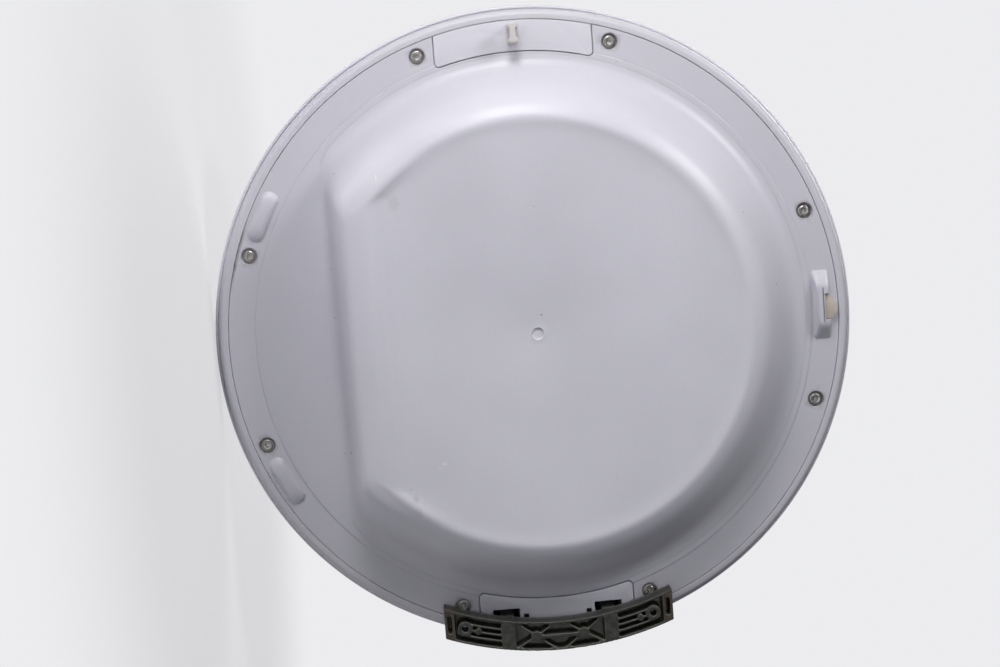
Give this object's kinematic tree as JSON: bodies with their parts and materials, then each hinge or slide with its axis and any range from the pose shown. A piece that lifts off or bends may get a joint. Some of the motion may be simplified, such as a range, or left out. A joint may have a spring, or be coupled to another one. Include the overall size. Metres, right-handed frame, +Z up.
{
  "type": "round tumble dryer door with hinge bracket",
  "caption": "Round appliance door, inner side with a D-shaped bulge, rim plates, catch peg and sprung latch, hung on a ribbed crescent hinge bracket.",
  "frame": {"origin": "middle of the hinge bracket's mounting face, on the spine between its two round bosses", "axes": "+Z up along the hinge, +Y out of the machine towards the user, +X from the door's centre to the hinge side"},
  "size_m": [0.482, 0.0925, 0.48],
  "materials": {
    "white_plastic": "satin gloss, lightly yellowed",
    "warm_white_plastic": "satin",
    "ivory_plastic": "matte",
    "nylon": "matte",
    "zinc_casting": "as cast, dull",
    "plated_steel": "plated"
  },
  "bodies": {
    "bracket": {"hinge_bracket": "zinc_casting", "hinge_bush_lower": "nylon", "hinge_bush_upper": "nylon"},
    "door": {"outer_cover": "white_plastic", "door_handle": "white_plastic", "door_ring": "white_plastic", "inner_panel": "white_plastic", "hinge_edge_plate": "white_plastic", "catch_edge_plate": "white_plastic", "catch_peg": "warm_white_plastic", "peg_screw": "plated_steel", "panel_screw_1": "plated_steel", "panel_screw_2": "plated_steel", "panel_screw_3": "plated_steel", "panel_screw_4": "plated_steel", "panel_screw_5": "plated_steel", "panel_screw_6": "plated_steel", "panel_screw_7": "plated_steel", "panel_screw_8": "plated_steel", "latch_guide": "nylon", "guide_screw_1": "plated_steel", "guide_screw_2": "plated_steel", "latch_spring": "plated_steel", "hinge_carrier": "plated_steel", "carrier_screw_1": "plated_steel", "carrier_screw_2": "plated_steel", "carrier_screw_3": "plated_steel", "hinge_pin_lower": "plated_steel", "hinge_pin_upper": "plated_steel"},
    "latch": {"latch_tongue": "ivory_plastic"}
  },
  "joints": [
    {"name": "door_swing", "type": "hinge", "parent": "bracket", "child": "door", "pos_m": [-0.0025, 0.035, 0], "axis": [0, 0, -1], "range_deg": [0, 155]},
    {"name": "latch_slide", "type": "slide", "parent": "door", "child": "latch", "axis": [0, 0, -1], "range_m": [0, 0.004], "stiffness_N_per_m": 300, "springref_m": -0.002, "deforming": ["latch_spring"]}
  ]
}
